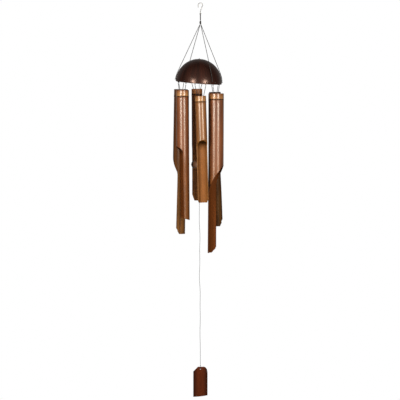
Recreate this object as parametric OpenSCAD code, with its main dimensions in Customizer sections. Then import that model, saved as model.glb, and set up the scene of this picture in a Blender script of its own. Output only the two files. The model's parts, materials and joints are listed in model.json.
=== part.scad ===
// Bamboo wind chime: six side-cut bamboo tubes hang on cords from the rim of a half coconut
// shell, around a wooden clapper with a bamboo sail below it. A steel hook carries it all.
// Millimetres, +Z up. The origin is the inside of the hook's crown, where it sits on its support.
// X is to the right and -Y is the front. Azimuths are degrees from +X towards +Y.

/* [Hook and hanger] */
// Wire diameter of the steel hook
hook_wire_d = 1.6; // [1.2:0.1:2.2]
// Radius of the hook's crown, to the middle of the wire
hook_crown_r = 5.5; // [4.5:0.5:8]
// Drop from the crown to the middle of the hook's lower eye
hook_eye_drop = 23.5; // [20:0.5:30]
// Drop from the crown to the middle of the top knot
knot_drop = 49; // [45:1:60]
// Diameter of the black cord
cord_d = 1.1; // [0.8:0.1:1.3]

/* [Coconut shell] */
// Width of the half coconut shell
shell_w = 118; // [112:1:128]
// Height of the shell from its widest level to its apex
shell_h = 60.5; // [55:0.5:70]
// Thickness of the shell
shell_wall = 5; // [3:0.5:6]
// Drop from the crown to the shell's apex
shell_drop = 141; // [135:0.5:160]
// Offset of the shell's axis from the hook, to the left
shell_offset = 4.5; // [0:0.5:6]
// Slope of the sawn rim
rim_slope = 5; // [0:0.5:6]
// Azimuth of the rim's lowest point
rim_low_azimuth = 328; // [0:1:359]
// Turn of the ring of tubes about the shell's axis
ring_turn = 5; // [0:1:20]

/* [All tubes] */
// Wall thickness of the bamboo
tube_wall = 3; // [2:0.5:4]
// Thickness of the diaphragm that closes a tube at its node
diaphragm_t = 3; // [2:0.5:4]
// Angle of the long slanting side cuts from the tube's axis
long_cut_angle = 28; // [20:1:40]
// Angle of the short side cuts, on the front left and front centre tubes
short_cut_angle = 48; // [40:1:60]

/* [Front left tube] */
// Diameter
front_left_d = 33; // [28:0.5:36]
// Drop from the crown to the tube's top edge
front_left_drop = 220; // [220:0.5:240]
// Distance from the top edge to the node
front_left_node = 16.5; // [14:0.5:20]
// Distance from the top edge to the top of the side opening
front_left_lip = 141.5; // [120:0.5:200]
// Length
front_left_len = 330; // [300:1:420]
// Azimuth that the side opening faces
front_left_open = 196; // [0:1:359]

/* [Front centre tube] */
// Diameter
front_center_d = 28.6; // [26:0.2:34]
// Drop from the crown to the tube's top edge
front_center_drop = 234.5; // [225:0.5:245]
// Distance from the top edge to the node
front_center_node = 15; // [14:0.5:20]
// Distance from the top edge to the top of the side opening
front_center_lip = 110.5; // [90:0.5:160]
// Length
front_center_len = 270; // [240:1:380]
// Azimuth that the side opening faces
front_center_open = 282; // [0:1:359]

/* [Front right tube] */
// Diameter
front_right_d = 39.6; // [32:0.2:40]
// Drop from the crown to the tube's top edge
front_right_drop = 228.5; // [226:0.5:245]
// Distance from the top edge to the node
front_right_node = 15.5; // [14:0.5:20]
// Distance from the top edge to the top of the side opening
front_right_lip = 181; // [150:1:240]
// Length
front_right_len = 405; // [360:1:480]
// Azimuth that the side opening faces
front_right_open = 321; // [0:1:359]

/* [Rear right tube] */
// Diameter
rear_right_d = 30; // [26:0.5:38]
// Drop from the crown to the tube's top edge
rear_right_drop = 225; // [223:0.5:240]
// Distance from the top edge to the node
rear_right_node = 16; // [14:0.5:20]
// Distance from the top edge to the top of the side opening
rear_right_lip = 149; // [120:1:200]
// Length
rear_right_len = 343; // [300:1:420]
// Azimuth that the side opening faces
rear_right_open = 75; // [0:1:359]

/* [Rear centre tube] */
// Diameter
rear_center_d = 27.8; // [26:0.2:34]
// Drop from the crown to the tube's top edge
rear_center_drop = 217; // [217:0.5:240]
// Distance from the top edge to the node
rear_center_node = 14.5; // [13:0.5:20]
// Distance from the top edge to the top of the side opening
rear_center_lip = 116; // [90:1:160]
// Length
rear_center_len = 286; // [240:1:380]
// Azimuth that the side opening faces
rear_center_open = 90; // [0:1:359]

/* [Rear left tube] */
// Diameter
rear_left_d = 35; // [30:0.5:38]
// Drop from the crown to the tube's top edge
rear_left_drop = 218; // [218:0.5:240]
// Distance from the top edge to the node
rear_left_node = 17; // [14:0.5:20]
// Distance from the top edge to the top of the side opening
rear_left_lip = 154; // [120:1:200]
// Length
rear_left_len = 369; // [320:1:440]
// Azimuth that the side opening faces
rear_left_open = 118; // [0:1:359]

/* [Clapper and sail] */
// Diameter of the clapper
clapper_d = 41; // [36:0.5:44]
// Height of the clapper
clapper_h = 18; // [12:0.5:24]
// Drop from the crown to the middle of the clapper
clapper_drop = 409; // [390:1:430]
// Offset of the clapper's cord from the hook, to the left
clapper_offset = 3; // [1:0.5:5]
// Shift of the sail from the clapper's cord, to the right
sail_shift = 3; // [0:0.5:5]
// Diameter of the pale sail line
sail_line_d = 0.8; // [0.6:0.1:1.2]
// Width of the sail
sail_w = 36.5; // [30:0.5:42]
// Height of the sail
sail_h = 79; // [60:1:100]
// Drop from the crown to the sail's top edge
sail_drop = 926; // [860:1:960]
// Radius of the bamboo that the sail was split from
sail_bend_r = 27; // [24:1:60]

/* [Hidden] */

CORD = "#1c1a1a";
SHELL = "#3a1c12";
BAMBOO = "#8a4a28";
GOLDEN = "#a96c35";
STEEL = "#c9ccd0";
LINE = "#c3c8cc";

gap = 0.12;                 // running gap between pieces that move on each other
cord_r = cord_d / 2;
line_r = sail_line_d / 2;
wire_r = hook_wire_d / 2;
ball = 1.25;                // a bend's ball, over the cord's radius
fine = 64;                  // circle fineness of the large round parts
small = 24;                 // circle fineness of the cords and knots

// Hook: an open crown, a slanting stem and a closed lower eye that lies across it
hook_tip_len = 6.5;
hook_sweep = 48;
hook_eye_r = 3.2;
hook_eye_z = -hook_eye_drop;
hook_crown_z = wire_r - hook_crown_r;
loop_pivot_z = hook_eye_z - hook_eye_r;

// Hanger loop and top knot
loop_r = wire_r + cord_r + 0.2;
knot_r = 2.3;
knot_h = 9.5;
knot_top_z = -knot_drop + knot_h / 2;
knot_pivot_z = knot_top_z + gap + cord_r * ball;
hanger_top_z = -knot_drop - knot_h / 2 - gap - cord_r * ball;
hanger_foot_r = 1.6;        // where the hanger cords leave the knot, off its axis

// Shell
shell_r = shell_w / 2;
shell_x = -shell_offset;
rim_z = -shell_drop - shell_h;
shell_in_r = shell_r - shell_wall;
shell_in_h = shell_h - shell_wall;
tie_hole_up = 5;            // rim to the tube cords' holes
hanger_hole_up = 7;         // rim to the hanger cords' holes
cord_hole_r = cord_r + 0.4;
tie_knot_r = 1.5;           // knots inside the shell and under its rim
head_knot_r = 1.1;          // knots outside the shell
tie_drop = 0.6;             // rim to the knots under it
tie_top = tie_hole_up + shell_r * tan(rim_slope);
leg_r = shell_in_r * sqrt(1 - pow(tie_top / shell_in_h, 2)) - cord_r - 0.15;

// Clapper and sail line
clapper_x = -clapper_offset;
sail_x = clapper_x + sail_shift;
apex_tie_z = rim_z + shell_in_h * 0.985 - 3.5;
link_r = 1.3;
link_z = apex_tie_z - tie_knot_r - gap - link_r;
clapper_pivot_z = link_z - link_r - gap - cord_r * ball;
clapper_foot_z = -clapper_drop - clapper_h / 2;
clapper_knot_r = 2.4;
clapper_knot_z = clapper_foot_z - 0.05 - clapper_knot_r;
cord_end_z = clapper_knot_z - clapper_knot_r - 2 * cord_r * ball;
sail_link_z = cord_end_z - gap - link_r;
sail_pivot_z = sail_link_z - link_r - gap - line_r * ball;
sail_tie_r = 1.3;
sail_tie_z = -sail_drop + 2.4;
sail_turn_z = sail_tie_z + sail_tie_r + gap;
sail_hole_drop = 6.5;
sail_t = 3;

// Tube rows: azimuth, diameter, drop, node, lip, length, azimuth of the side opening, depth of the
// opening at its waist and at the foot, as shares of the radius, angle of the side cut, lean to the
// right, half the distance between the cord's upper ends as a share of the radius
FRONT_LEFT = [210 + ring_turn, front_left_d, front_left_drop, front_left_node, front_left_lip,
    front_left_len, front_left_open, 0.75, 0.85, short_cut_angle, 0.4, 0.95];
FRONT_CENTER = [270 + ring_turn, front_center_d, front_center_drop, front_center_node, front_center_lip,
    front_center_len, front_center_open, 1.06, 1.2, short_cut_angle, 1.7, 0.95];
FRONT_RIGHT = [330 + ring_turn, front_right_d, front_right_drop, front_right_node, front_right_lip,
    front_right_len, front_right_open, 1.52, 1.5, long_cut_angle, -0.3, 0.95];
REAR_RIGHT = [30 + ring_turn, rear_right_d, rear_right_drop, rear_right_node, rear_right_lip,
    rear_right_len, rear_right_open, 1.5, 0.9, long_cut_angle, 1, 0.95];
REAR_CENTER = [90 + ring_turn, rear_center_d, rear_center_drop, rear_center_node, rear_center_lip,
    rear_center_len, rear_center_open, 1.3, 1.3, long_cut_angle, 0.15, 0.95];
REAR_LEFT = [150 + ring_turn, rear_left_d, rear_left_drop, rear_left_node, rear_left_lip,
    rear_left_len, rear_left_open, 1.72, 1.64, long_cut_angle, -1, 0.95];
TUBES = [FRONT_LEFT, FRONT_CENTER, FRONT_RIGHT, REAR_RIGHT, REAR_CENTER, REAR_LEFT];

function azimuth(t) = t[0];
function radius(t) = t[1] / 2;
function drop(t) = t[2];
function node_depth(t) = t[3];
function lip_depth(t) = t[4];
function length_of(t) = t[5];
function opening(t) = t[6];
function waist_depth(t) = t[7] * radius(t);
function foot_depth(t) = t[8] * radius(t);
function cut_slope(t) = 1 / tan(t[9]);
function lean(t) = t[10];
function leg_spread(t) = t[11];

hole_spread = 0.3;          // half the distance between a cord's lower bends, as a share of the radius

function along(a) = [cos(a), sin(a), 0];
function rim_height(p) = rim_z - tan(rim_slope) * ((p - [shell_x, 0, 0]) * along(rim_low_azimuth));
function at_rim(a, r, up) =
    let (p = [shell_x, 0, 0] + r * along(a))
    [p.x, p.y, rim_height(p) + up];
function leg_angle(t) = asin(leg_spread(t) * radius(t) / leg_r);
function leg_azimuth(t, side) = azimuth(t) + side * leg_angle(t);
function leg_top(t, side) = at_rim(leg_azimuth(t, side), leg_r, -2 * tie_knot_r - tie_drop - cord_r - 2 * gap);
function ring_r(t) = leg_r * cos(leg_angle(t));
function tube_top(t) = [shell_x, 0, -drop(t)] + ring_r(t) * along(azimuth(t));
function lean_x(t, p) = [
    p.x * cos(lean(t)) - p.z * sin(lean(t)),
    p.y,
    p.x * sin(lean(t)) + p.z * cos(lean(t))];
function turned(a, p) = [p.x * cos(a) - p.y * sin(a), p.x * sin(a) + p.y * cos(a), p.z];
function in_world(t, p) = tube_top(t) + lean_x(t, turned(azimuth(t), p));
function cross_z(t) = -node_depth(t) - diaphragm_t / 2 - cord_r * ball - gap;
function bend_at(t, side) = in_world(t, [0, side * hole_spread * radius(t), cross_z(t)]);
function leg_slope(t) =
    (leg_spread(t) - hole_spread) * radius(t) / (leg_top(t, 1).z - in_world(t, [0, 0, cross_z(t)]).z);

// Turn that points +Z along d
function aim(d) = [0, acos(d.z / norm(d)), atan2(d.y, d.x)];

// A round bar from p to q
module rod(p, q, r) {
    translate(p)
        rotate(aim(q - p))
            cylinder(h = norm(q - p), r = r, $fn = small);
}

// A ball whose poles lie along d, the line of the bar that meets it
module bead(p, r, d = [0, 0, 1]) {
    translate(p)
        rotate(aim(d))
            sphere(r, $fn = small);
}

// A bar along a line of points, with a ball at each bend. The balls' poles lie along the bars, or
// upright if upright is true.
module run(points, r, upright = false) {
    last = len(points) - 1;
    for (i = [0 : last]) {
        way = i < last ? points[i + 1] - points[i] : points[i] - points[i - 1];
        bead(points[i], r * ball, upright ? [0, 0, 1] : way);
    }
    for (i = [0 : last - 1])
        rod(points[i], points[i + 1], r);
}

module hanging_hook() {
    crown = [0, 0, hook_crown_z];
    bend = crown + hook_crown_r * [cos(hook_sweep), 0, -sin(hook_sweep)];
    eye_top = [0, 0, hook_eye_z + hook_eye_r];
    tip_top = crown - [hook_crown_r, 0, 0];
    tip = crown + [0.4 - hook_crown_r, 0, -hook_tip_len];
    color(STEEL) {
        translate(crown)
            rotate([90, 0, 0])
                rotate([0, 0, -hook_sweep])
                    rotate_extrude(angle = 180 + hook_sweep, $fn = fine)
                        translate([hook_crown_r, 0]) circle(wire_r, $fn = small);
        run([tip_top, tip], wire_r);
        run([bend, eye_top], wire_r);
        translate([0, 0, hook_eye_z])
            rotate([0, 90, 0])
                rotate_extrude($fn = fine)
                    translate([hook_eye_r, 0]) circle(wire_r, $fn = small);
    }
}

module hanger_loop() {
    foot = [1.25, 0, knot_pivot_z];
    color(CORD) {
        translate([0, 0, loop_pivot_z])
            rotate([90, 0, 0])
                rotate_extrude(angle = 180, $fn = fine)
                    translate([loop_r, 0]) circle(cord_r, $fn = small);
        for (side = [-1, 1])
            run([[side * loop_r, 0, loop_pivot_z], [side * foot.x, 0, foot.z]], cord_r);
        rod([-foot.x, 0, foot.z], foot, cord_r);
    }
}

module hanger_knot() {
    color(CORD)
        translate([0, 0, -knot_drop])
            rotate_extrude($fn = fine)
                polygon(concat(
                    [[0, -knot_h / 2]],
                    [for (a = [-90 : 15 : 90])
                        [1.5 + (knot_r - 1.5) * cos(a), knot_h / 2 * sin(a)]],
                    [[0, knot_h / 2]]));
}

// A hanger cord runs straight to the shell, bends over its side and enters its hole near the rim.
// It lies in the upright plane through its foot at the knot and its hole at azimuth a. The bend is
// where the tangents of an arc close round the shell meet.
module hanger_cord(a) {
    foot = [hanger_foot_r * cos(a), hanger_foot_r * sin(a), hanger_top_z];
    hole = at_rim(a, shell_r, hanger_hole_up);
    inside = hole - (shell_wall + 3) * along(a);
    flat = [hole.x - foot.x, hole.y - foot.y, 0];
    way = flat / norm(flat);
    reach = ([shell_x, 0, 0] - foot) * way;
    middle = [foot.x, foot.y, rim_z] + reach * way;
    arc_r = shell_h + cord_r + 0.35;
    rise = foot.z - rim_z;
    high = atan2(rise, -reach) - acos(arc_r / norm([reach, rise]));
    low = asin((hole.z - rim_z) / arc_r);
    mid = (high + low) / 2;
    bend = middle + arc_r / cos(high - mid) * (cos(mid) * way + [0, 0, sin(mid)]);
    turn = middle + arc_r * (cos(low) * way + [0, 0, sin(low)]);
    color(CORD) {
        run([foot, bend, turn, inside], cord_r, upright = true);
        bead(inside, tie_knot_r, along(a));
    }
}

module hanger_cord_left() {
    hanger_cord(180 + ring_turn);
}

module hanger_cord_rear() {
    hanger_cord(120 + ring_turn);
}

module hanger_cord_front() {
    hanger_cord(300 + ring_turn);
}

module hanger_cord_right() {
    hanger_cord(ring_turn);
}

// Quarter ellipse from below its widest level up to the apex
function shell_arc(r, h, low) = [for (i = [0 : 24])
    let (e = low + (90 - low) * i / 24)
    [r * cos(e), h * sin(e)]];

module coconut_shell() {
    below = -9;
    reach = 2 * shell_r;
    outside = shell_arc(shell_r, shell_h, below);
    inner = shell_arc(shell_in_r, shell_in_h, below);
    color(SHELL)
        difference() {
            translate([shell_x, 0, rim_z])
                rotate_extrude($fn = fine)
                    polygon(concat(outside, [for (i = [24 : -1 : 0]) inner[i]]));
            translate([shell_x, 0, rim_z])
                rotate([0, 0, rim_low_azimuth])
                    rotate([0, rim_slope, 0])
                        translate([-reach, -reach, -reach]) cube([2 * reach, 2 * reach, reach]);
            for (t = TUBES, side = [-1, 1])
                shell_hole(leg_azimuth(t, side), tie_hole_up);
            for (a = [0, 120, 180, 300])
                shell_hole(a + ring_turn, hanger_hole_up);
            translate([clapper_x, 0, rim_z]) cylinder(h = shell_h + 5, r = cord_hole_r, $fn = small);
        }
}

module shell_hole(a, up) {
    p = at_rim(a, shell_r, up);
    rod(p + 6 * along(a), p - (shell_wall + 6) * along(a), cord_hole_r);
}

// One tie per tube cord end: a knot outside, a cord through the hole and a knot under the rim
module rim_ties() {
    color(CORD)
        for (t = TUBES, side = [-1, 1]) {
            a = leg_azimuth(t, side);
            hole = at_rim(a, shell_r, tie_hole_up);
            turn = [shell_x, 0, hole.z] + leg_r * along(a);
            knot = at_rim(a, leg_r, -tie_knot_r - tie_drop);
            head = hole + (head_knot_r + 0.3) * along(a);
            run([head, turn, knot], cord_r);
            bead(head, head_knot_r, along(a));
            bead(knot, tie_knot_r);
        }
}

// The clapper cord's stopper: a knot on the apex, a cord through it and a knot inside
module apex_tie() {
    foot = [clapper_x, 0, apex_tie_z];
    head = [clapper_x, 0, rim_z + shell_h + head_knot_r + 0.1];
    color(CORD) {
        rod(foot, head, cord_r);
        bead(foot, tie_knot_r);
        bead(head, head_knot_r);
    }
}

// Side outline of the material that the slanting side cut takes away, u outwards and z up.
// The foot may rise towards the opening.
function cut_outline(t, from, deep, deep_foot, rise = 0) =
    let (r = radius(t), foot = -length_of(t), over = 3)
    concat(
        [[r + over, -from + over * cut_slope(t)], [r - deep, -from - deep * cut_slope(t)]],
        rise > 0 ? [[r - deep_foot, foot + rise], [-r, foot], [-r, foot - over]]
            : [[r - deep_foot, foot - over]],
        [[r + over, foot - over]]);

module side_cut(t, a, outline) {
    rotate([0, 0, a - azimuth(t)])
        rotate([90, 0, 0])
            linear_extrude(4 * radius(t), center = true)
                polygon(outline);
}

// Half section of a whole tube: open cup on top, diaphragm at the node, bore below it
function tube_section(t) =
    let (r = radius(t), in = r - tube_wall, n = -node_depth(t), d = diaphragm_t / 2, foot = -length_of(t))
    [
        [0, n + d], [in, n + d], [in + 0.3, 0],
        [r - 0.7, 0], [r, -0.7], [r - 0.1, n + 2.4],
        [r + 0.5, n + 0.9], [r - 0.5, n], [r + 0.6, n - 0.9],
        [r, n - 3.5], [r * 0.985, foot],
        [r * 0.985 - tube_wall, foot], [in, n - d - 2], [in - 2, n - d], [0, n - d],
    ];

// Oblique trim of a lower corner of the tongue: w wide (negative for the other corner) and h high
module foot_bevel(t, w, h) {
    in = max(0, foot_depth(t) - radius(t));
    half = sqrt(pow(radius(t), 2) - in * in);
    slope = h / abs(w);
    foot = -length_of(t);
    over = 3;
    rotate([0, 0, opening(t) - azimuth(t)])
        rotate([90, 0, 90])
            linear_extrude(4 * radius(t), center = true)
                polygon([
                    [sign(w) * (half - abs(w) - over / slope), foot - over],
                    [sign(w) * (half + over), foot + h + over * slope],
                    [sign(w) * (half + over), foot - over]]);
}

// A tube with its diaphragm, cord holes, side opening and bevelled foot. A second cut may be
// turned about the axis and start higher than the first.
module tube(t, tint, bevels = [], foot_rise = 0, second_turn = 0, second_rise = 0) {
    r = radius(t);
    hole_y = hole_spread * r + leg_slope(t) * (diaphragm_t / 2 + cord_r + gap);
    color(tint)
        translate(tube_top(t))
            rotate([0, -lean(t), 0])
                rotate([0, 0, azimuth(t)])
                    difference() {
                        rotate_extrude($fn = fine) polygon(tube_section(t));
                        for (side = [-1, 1])
                            translate([0, side * hole_y, -node_depth(t) - diaphragm_t])
                                cylinder(h = 2 * diaphragm_t, r = cord_r + 1.4, $fn = small);
                        side_cut(t, opening(t), cut_outline(t, lip_depth(t) + second_rise,
                            waist_depth(t), foot_depth(t), foot_rise));
                        if (second_turn != 0)
                            side_cut(t, opening(t) + second_turn,
                                cut_outline(t, lip_depth(t), 1.15 * r, 1.1 * r));
                        for (b = bevels)
                            foot_bevel(t, b[0], b[1]);
                    }
}

module front_left_tube() {
    tube(FRONT_LEFT, BAMBOO, foot_rise = 6);
}

module front_center_tube() {
    tube(FRONT_CENTER, GOLDEN, bevels = [[-4, 7], [4, 7]]);
}

module front_right_tube() {
    tube(FRONT_RIGHT, BAMBOO, bevels = [[11, 15]], second_turn = 26, second_rise = 11);
}

module rear_right_tube() {
    tube(REAR_RIGHT, BAMBOO, bevels = [[-5, 18]]);
}

module rear_center_tube() {
    tube(REAR_CENTER, BAMBOO, bevels = [[6, 16]]);
}

module rear_left_tube() {
    tube(REAR_LEFT, BAMBOO, bevels = [[8, 16]]);
}

// A tube's cord: from one rim tie down through the diaphragm, across under it and back up
module tube_cord(t) {
    color(CORD)
        run([leg_top(t, -1), bend_at(t, -1), bend_at(t, 1), leg_top(t, 1)], cord_r);
}

module front_left_cord() {
    tube_cord(FRONT_LEFT);
}

module front_center_cord() {
    tube_cord(FRONT_CENTER);
}

module front_right_cord() {
    tube_cord(FRONT_RIGHT);
}

module rear_right_cord() {
    tube_cord(REAR_RIGHT);
}

module rear_center_cord() {
    tube_cord(REAR_CENTER);
}

module rear_left_cord() {
    tube_cord(REAR_LEFT);
}

module clapper_link() {
    color(CORD) bead([clapper_x, 0, link_z], link_r);
}

module clapper_cord() {
    color(CORD)
        run([[clapper_x, 0, clapper_pivot_z], [clapper_x, 0, cord_end_z + cord_r * ball]], cord_r);
}

module clapper() {
    flat = clapper_d / 2 - 7;
    bore = cord_r + 0.35;
    color(SHELL)
        translate([clapper_x, 0, -clapper_drop])
            rotate_extrude($fn = fine)
                polygon(concat(
                    [[bore, -clapper_h / 2]],
                    [for (a = [-90 : 12 : 90])
                        [flat + (clapper_d / 2 - flat) * cos(a), clapper_h / 2 * sin(a)]],
                    [[bore, clapper_h / 2]]));
}

module clapper_knot() {
    color(CORD)
        difference() {
            bead([clapper_x, 0, clapper_knot_z], clapper_knot_r);
            translate([clapper_x, 0, clapper_knot_z])
                cylinder(h = 8, r = cord_r + 0.06, center = true, $fn = small);
        }
}

module sail_link() {
    color(LINE) bead([clapper_x, 0, sail_link_z], link_r);
}

module sail_line() {
    color(LINE)
        run([[clapper_x, 0, sail_pivot_z], [sail_x, 0, sail_turn_z + line_r * ball]], line_r);
}

// The line's tie: a knot above the sail and a loop through its hole
module sail_tie() {
    knot = [sail_x, 0, sail_tie_z];
    hole_z = -sail_drop - sail_hole_drop;
    front = -sail_t / 2 - line_r - 0.3;
    color(LINE) {
        bead(knot, sail_tie_r);
        for (side = [-1, 1])
            run([knot, [sail_x, side * front, -sail_drop], [sail_x, side * front, hole_z]], line_r);
        rod([sail_x, front, hole_z], [sail_x, -front, hole_z], line_r);
    }
}

// Face of the sail: bevelled left shoulder, rounded right shoulder and a slightly slanting foot
function sail_outline() =
    let (w = sail_w / 2, round_r = 0.44 * sail_w, round_w = 0.28 * sail_w)
    concat(
        [[-w, -sail_h], [w, -sail_h + 4]],
        [for (a = [0 : 15 : 75]) [w - round_w * (1 - cos(a)), round_r * (sin(a) - 1)]],
        [[w - round_w, 0], [-w + 12, 0], [-w, -13]]);

module sail() {
    r = sail_bend_r;
    color(SHELL)
        translate([sail_x, 0, -sail_drop])
            difference() {
                intersection() {
                    rotate([90, 0, 0])
                        linear_extrude(2 * r, center = true) polygon(sail_outline());
                    translate([0, r - sail_t / 2, -sail_h - 5])
                        difference() {
                            cylinder(h = sail_h + 10, r = r, $fn = fine);
                            translate([0, 0, -1]) cylinder(h = sail_h + 12, r = r - sail_t, $fn = fine);
                            translate([-2 * r, 0, -1]) cube([4 * r, 2 * r, sail_h + 12]);
                        }
                }
                translate([0, 0, -sail_hole_drop])
                    rotate([90, 0, 0]) cylinder(h = 12, r = 1.2, center = true, $fn = small);
            }
}

hanging_hook();
hanger_loop();
hanger_knot();
hanger_cord_left();
hanger_cord_rear();
hanger_cord_front();
hanger_cord_right();
coconut_shell();
rim_ties();
apex_tie();
front_left_tube();
front_center_tube();
front_right_tube();
rear_right_tube();
rear_center_tube();
rear_left_tube();
front_left_cord();
front_center_cord();
front_right_cord();
rear_right_cord();
rear_center_cord();
rear_left_cord();
clapper_link();
clapper_cord();
clapper();
clapper_knot();
sail_link();
sail_line();
sail_tie();
sail();
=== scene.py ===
"""Looks of a hanging bamboo wind chime: a wire hook, black cords, half a coconut shell, six side-cut
bamboo tubes, a turned clapper and a split-bamboo sail. Metres, +Z up, the front is -Y."""
import json
import math
from dataclasses import dataclass

import bmesh
import bpy
import numpy as np
from mathutils import Matrix, Vector


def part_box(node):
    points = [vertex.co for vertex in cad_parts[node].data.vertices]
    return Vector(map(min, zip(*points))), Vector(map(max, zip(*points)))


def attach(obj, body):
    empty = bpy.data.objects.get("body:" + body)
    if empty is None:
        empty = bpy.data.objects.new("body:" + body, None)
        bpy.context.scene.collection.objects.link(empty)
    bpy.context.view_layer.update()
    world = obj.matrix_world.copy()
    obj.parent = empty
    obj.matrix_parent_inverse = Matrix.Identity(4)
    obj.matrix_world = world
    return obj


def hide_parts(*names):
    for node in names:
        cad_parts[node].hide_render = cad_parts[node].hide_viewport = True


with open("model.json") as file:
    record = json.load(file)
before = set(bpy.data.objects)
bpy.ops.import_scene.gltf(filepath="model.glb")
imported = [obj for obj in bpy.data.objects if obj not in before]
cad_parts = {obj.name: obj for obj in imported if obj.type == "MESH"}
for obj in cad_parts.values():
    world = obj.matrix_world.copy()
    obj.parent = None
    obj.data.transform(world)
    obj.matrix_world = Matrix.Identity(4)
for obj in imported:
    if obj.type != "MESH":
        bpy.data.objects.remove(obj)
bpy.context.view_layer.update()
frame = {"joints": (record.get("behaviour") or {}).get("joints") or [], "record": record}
joints = {joint["name"]: joint for joint in frame["joints"]}
record = frame["record"]
rng = np.random.default_rng(7)

MM = 0.001

# Cords, knots and wire, which repeat the CAD's sizes
CORD_D = 1.1 * MM
LINE_D = 0.8 * MM
WIRE_D = 1.6 * MM
BALL = 1.25             # how much thicker a CAD cord is at its bends
GAP = 0.12 * MM         # between a CAD cord and what it lies on
TIE_KNOT = 3 * MM
HEAD_KNOT = 2.2 * MM
LINK_D = 2.6 * MM

# Coconut shell
SHELL_H = 60.5 * MM
SHELL_WALL = 5 * MM
RIM_SLOPE = math.radians(5)
RIM_LOW = math.radians(328)
TIE_HOLE_UP = 5 * MM
HANGER_HOLE_UP = 7 * MM
HANGER_AZIMUTHS = {"left": 185, "rear": 125, "front": 305, "right": 5}

# Bamboo tubes
TUBE_WALL = 3 * MM
DIAPHRAGM = 3 * MM
RIDGE = 0.6 * MM        # how far the node's ridges stand out
GROOVE = 0.5 * MM       # depth of the node's groove
TOP_ROUND = 0.7 * MM    # rounding of the top edge
TAPER = 0.015           # share of the radius that is lost towards the foot
HOLE_SPREAD = 0.3       # share of the radius from the middle to a cord hole
BELOW_LIP = 30 * MM     # stretch below a cut's lip that needs close rows

# Sail
SAIL_BEND = 27 * MM
SAIL_T = 3 * MM
SAIL_HOLE_DROP = 6.5 * MM

# Kinds of faces, which the materials tell apart
SKIN, BORE, CUT = 0.0, 1.0, 2.0


@dataclass
class Tube:
    """How one bamboo tube is cut: lengths in millimetres from its top, depths as shares of its radius,
    angles in degrees."""
    name: str
    node: float
    lip: float
    waist: float
    foot: float
    cut: float
    opening: float
    lean: float
    bevels: tuple = ()
    foot_rise: float = 0
    second_turn: float = 0
    second_rise: float = 0
    # tone scales the tube's colour for rear tubes standing in the front tubes' shade: painted light above
    # 1, painted shade below 1
    tone: float = 1


TUBES = [
    Tube("front_left", 16.5, 141.5, 0.75, 0.85, 48, 196, 0.4, foot_rise=6),
    Tube("front_center", 15, 110.5, 1.06, 1.2, 48, 282, 1.7, bevels=((-4, 7), (4, 7))),
    Tube("front_right", 15.5, 181, 1.52, 1.5, 28, 321, -0.3, bevels=((11, 15),),
         second_turn=26, second_rise=11),
    Tube("rear_right", 16, 149, 1.5, 0.9, 28, 75, 1, bevels=((-5, 18),), tone=0.35),
    Tube("rear_center", 14.5, 116, 1.3, 1.3, 28, 90, 0.15, bevels=((6, 16),), tone=3),
    Tube("rear_left", 17, 154, 1.72, 1.64, 28, 118, -1, bevels=((8, 16),), tone=0.65),
]


def steps(start, end, count):
    """Evenly spaced numbers from start to end."""
    return np.linspace(start, end, count).tolist()


def pivot(joint):
    return Vector(joints[joint]["pos_m"])


def hinge_axis(joint):
    return Vector(joints[joint]["axis"]).normalized()


def along(azimuth):
    return Vector((math.cos(azimuth), math.sin(azimuth), 0))


# Coconut shell's own measures
shell_low, shell_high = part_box("coconut_shell")
SHELL_MIDDLE = Vector(((shell_low.x + shell_high.x) / 2, 0, shell_high.z - SHELL_H))
SHELL_R = (shell_high.x - shell_low.x) / 2


def at_rim(azimuth, r, up):
    """A point above the sawn rim at a distance r from the shell's axis."""
    fall = math.tan(RIM_SLOPE) * r * math.cos(azimuth - RIM_LOW)
    return SHELL_MIDDLE + r * along(azimuth) + Vector((0, 0, up - fall))


# ---------------------------------------------------------------- meshes

def mesh_object(name, verts, faces, smooth_below=40, points=None, per_face=None):
    """An object of the given points and faces, smooth except at edges sharper than smooth_below degrees.
    points and per_face hold values for the materials to read."""
    mesh = bpy.data.meshes.new(name)
    mesh.from_pydata([tuple(v) for v in verts], [], faces)
    for domain, values_by_name in (("POINT", points or {}), ("FACE", per_face or {})):
        for key, values in values_by_name.items():
            values = np.asarray(values, np.float32)
            kind, field = ("FLOAT_VECTOR", "vector") if values.ndim == 2 else ("FLOAT", "value")
            mesh.attributes.new(key, kind, domain).data.foreach_set(field, values.ravel())
    bm = bmesh.new()
    bm.from_mesh(mesh)
    bmesh.ops.remove_doubles(bm, verts=bm.verts, dist=0.002 * MM)
    bmesh.ops.recalc_face_normals(bm, faces=bm.faces)
    bm.to_mesh(mesh)
    bm.free()
    mesh.shade_smooth()
    mesh.set_sharp_from_angle(angle=math.radians(smooth_below))
    obj = bpy.data.objects.new(name, mesh)
    bpy.context.scene.collection.objects.link(obj)
    return obj


def grid_faces(rows, columns, offset=0, closed=False):
    """Quads of a rows by columns grid of points; closed joins the last column to the first."""
    faces = []
    for i in range(rows - 1):
        for j in range(columns if closed else columns - 1):
            k = (j + 1) % columns
            quad = (i * columns + j, i * columns + k, (i + 1) * columns + k, (i + 1) * columns + j)
            faces.append(tuple(q + offset for q in quad))
    return faces


def resample(points, step):
    """Points at about equal steps along a line of points."""
    p = np.array([tuple(q) for q in points], float)
    travel = np.concatenate([[0], np.cumsum(np.linalg.norm(np.diff(p, axis=0), axis=1))])
    count = max(3, math.ceil(travel[-1] / step) + 1)
    at = np.linspace(0, travel[-1], count)
    return np.stack([np.interp(at, travel, p[:, k]) for k in range(3)], 1)


def rounded(points, radius):
    """The line of points with each corner replaced by a short curve."""
    points = [Vector(p) for p in points]
    out = [points[0]]
    for before, corner, after in zip(points, points[1:], points[2:]):
        a = corner + (before - corner).normalized() * min(radius, (before - corner).length / 2)
        b = corner + (after - corner).normalized() * min(radius, (after - corner).length / 2)
        for t in steps(0, 1, 6):
            out.append((1 - t) ** 2 * a + 2 * t * (1 - t) * corner + t * t * b)
    out.append(points[-1])
    return out


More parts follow.
